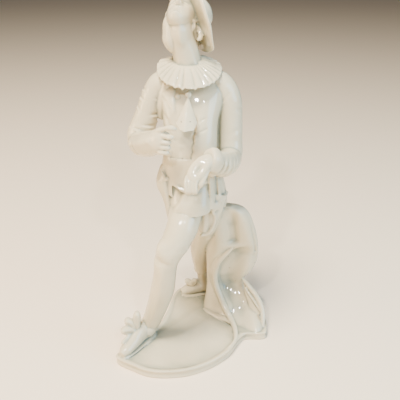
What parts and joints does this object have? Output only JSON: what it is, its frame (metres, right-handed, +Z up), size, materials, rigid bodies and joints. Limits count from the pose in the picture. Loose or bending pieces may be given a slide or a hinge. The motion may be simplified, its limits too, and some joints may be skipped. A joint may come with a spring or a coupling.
{
  "type": "commedia dell arte figure",
  "caption": "Glazed porcelain figure of a comedy actor in ruff and wide hat, one arm bent to the chest, stepping forward on an irregular plate against a scrolled support.",
  "frame": {"origin": "middle of the plate's underside", "axes": "+Z up, +X to the viewer's right, +Y away from the viewer"},
  "size_m": [0.0852, 0.0845, 0.1989],
  "materials": {
    "porcelain": "glossy clear glaze over warm white porcelain"
  },
  "bodies": {
    "root": {"porcelain_figure": "porcelain"}
  },
  "joints": []
}
